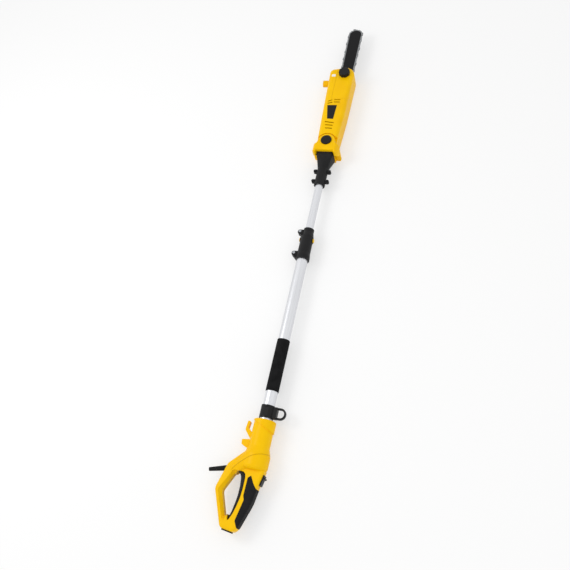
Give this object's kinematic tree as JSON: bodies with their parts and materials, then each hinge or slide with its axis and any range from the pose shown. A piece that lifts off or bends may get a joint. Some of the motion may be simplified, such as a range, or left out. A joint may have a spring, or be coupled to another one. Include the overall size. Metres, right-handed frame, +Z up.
{
  "type": "telescoping pole saw",
  "caption": "Electric pole saw: a looped trigger handle, a telescoping pole with a foam grip, and a tilting head with a motor, an oil tank, a guide bar and a saw chain.",
  "frame": {"origin": "on the pole's axis at the mouth of the handle", "axes": "+Y along the pole towards the cutting head, +Z up out of the floor it lies on, +X to the right seen from above with the head away"},
  "size_m": [0.1847, 1.8329, 0.0914],
  "materials": {
    "yellow_shell": "moulded, satin gloss",
    "black_shell": "moulded, fine grain",
    "black_trim": "moulded, satin",
    "yellow_button": "moulded, satin gloss",
    "grip_rubber": "soft overmould",
    "foam": "closed-cell foam",
    "pole_aluminium": "bright drawn tube",
    "screw_steel": "zinc plated",
    "screw_black": "black oxide",
    "bar_paint": "black enamel",
    "chain_steel": "oiled steel",
    "gear_steel": "hardened steel",
    "spring_steel": "spring wire",
    "motor_iron": "laminated iron",
    "brush_carbon": "carbon in moulded holders",
    "inner_plastic": "moulded",
    "lead_rubber": "cable sheath",
    "tank_plastic": "milky polyethylene",
    "window_plastic": "clear to milky"
  },
  "bodies": {
    "handle": {"handle_shell_front": "yellow_shell", "handle_shell_rear": "yellow_shell", "handle_screws": "screw_steel", "grip_pad_front": "grip_rubber", "grip_pad_rear": "grip_rubber", "trigger_pin": "screw_steel", "trigger_spring": "spring_steel", "power_switch": "inner_plastic", "lock_off_spring": "spring_steel", "cord_strain_relief": "grip_rubber", "cord_clamp": "inner_plastic", "foot_pad": "grip_rubber", "lower_tube": "pole_aluminium", "foam_grip": "foam", "strap_collar": "black_trim", "clamp_bolts": "screw_steel", "telescope_sleeve": "black_trim", "guide_bush": "inner_plastic", "coiled_lead": "lead_rubber"},
    "trigger_lever": {"trigger": "black_trim"},
    "lock_off": {"lock_off_button": "black_trim"},
    "lock_left": {"lock_button_left": "yellow_button"},
    "lock_right": {"lock_button_right": "yellow_button"},
    "upper_pole": {"upper_tube": "pole_aluminium", "tail_bush": "inner_plastic", "neck_front": "black_shell", "neck_rear": "black_shell", "neck_screws": "screw_black", "yoke_front": "yellow_shell", "yoke_rear": "yellow_shell", "pivot_bolt": "screw_steel", "tilt_spring": "spring_steel"},
    "tilt_lock": {"tilt_button": "black_trim"},
    "head": {"head_shell_front": "yellow_shell", "head_shell_rear": "yellow_shell", "head_screws": "screw_steel", "sprocket_cover": "yellow_shell", "label_plate": "black_trim", "bar_mount_plate": "gear_steel", "bar_stud": "screw_steel", "guide_bar": "bar_paint", "chain_drive_links": "chain_steel", "chain_tie_straps": "chain_steel", "chain_cutters": "chain_steel", "chain_tensioner": "gear_steel", "stator": "motor_iron", "motor_brushes": "brush_carbon", "bearings": "gear_steel", "oil_tank": "tank_plastic", "oil_window": "window_plastic", "oil_pump": "inner_plastic"},
    "knob": {"bar_knob": "black_trim"},
    "filler_cap": {"oil_cap": "yellow_button"},
    "rotor": {"armature": "motor_iron", "cooling_fan": "inner_plastic", "bevel_pinion": "gear_steel"},
    "output": {"output_shaft": "gear_steel", "bevel_gear": "gear_steel", "drive_sprocket": "gear_steel"}
  },
  "joints": [
    {"name": "telescope_slide", "type": "slide", "parent": "handle", "child": "upper_pole", "axis": [0, 1, 0], "range_m": [-0.16, 0.33], "deforming": ["coiled_lead"]},
    {"name": "head_tilt", "type": "hinge", "parent": "upper_pole", "child": "head", "pos_m": [0, 0.972, 0], "axis": [0, 0, 1], "range_deg": [0, 30]},
    {"name": "tilt_button_press", "type": "slide", "parent": "upper_pole", "child": "tilt_lock", "axis": [0, 0, -1], "range_m": [0, 0.005], "stiffness_N_per_m": 600, "springref_m": -0.004, "deforming": ["tilt_spring"]},
    {"name": "motor_spin", "type": "hinge", "parent": "head", "child": "rotor", "pos_m": [0.0105, 1.1, -0.006], "axis": [0, 1, 0], "continuous": true},
    {"name": "sprocket_spin", "type": "hinge", "parent": "head", "child": "output", "pos_m": [0.0105, 1.2245, 0], "axis": [0, 0, 1], "continuous": true, "deforming": ["chain_drive_links"]},
    {"name": "bar_knob_turn", "type": "hinge", "parent": "head", "child": "knob", "pos_m": [0.0105, 1.274, 0.045], "axis": [0, 0, 1], "continuous": true},
    {"name": "oil_cap_turn", "type": "hinge", "parent": "head", "child": "filler_cap", "pos_m": [-0.055, 1.263, 0], "axis": [-1, 0, 0], "continuous": true},
    {"name": "trigger_press", "type": "hinge", "parent": "handle", "child": "trigger_lever", "pos_m": [-0.04, -0.281, 0], "axis": [0, 0, -1], "range_deg": [0, 4], "stiffness_Nm_per_rad": 1.5, "springref_deg": -8.59, "deforming": ["trigger_spring"]},
    {"name": "lock_off_slide", "type": "slide", "parent": "handle", "child": "lock_off", "axis": [0.2124, 0.9772, 0], "range_m": [0, 0.005], "stiffness_N_per_m": 300, "springref_m": -0.004, "deforming": ["lock_off_spring"]},
    {"name": "lock_button_left_press", "type": "slide", "parent": "handle", "child": "lock_left", "axis": [1, 0, 0], "range_m": [0, 0.0025], "stiffness_N_per_m": 600, "springref_m": -0.003},
    {"name": "lock_button_right_press", "type": "slide", "parent": "handle", "child": "lock_right", "axis": [-1, 0, 0], "range_m": [0, 0.0025], "stiffness_N_per_m": 600, "springref_m": -0.003}
  ],
  "couplings": [
    {"joint": "sprocket_spin", "follows": "motor_spin", "ratio": -0.28571}
  ]
}
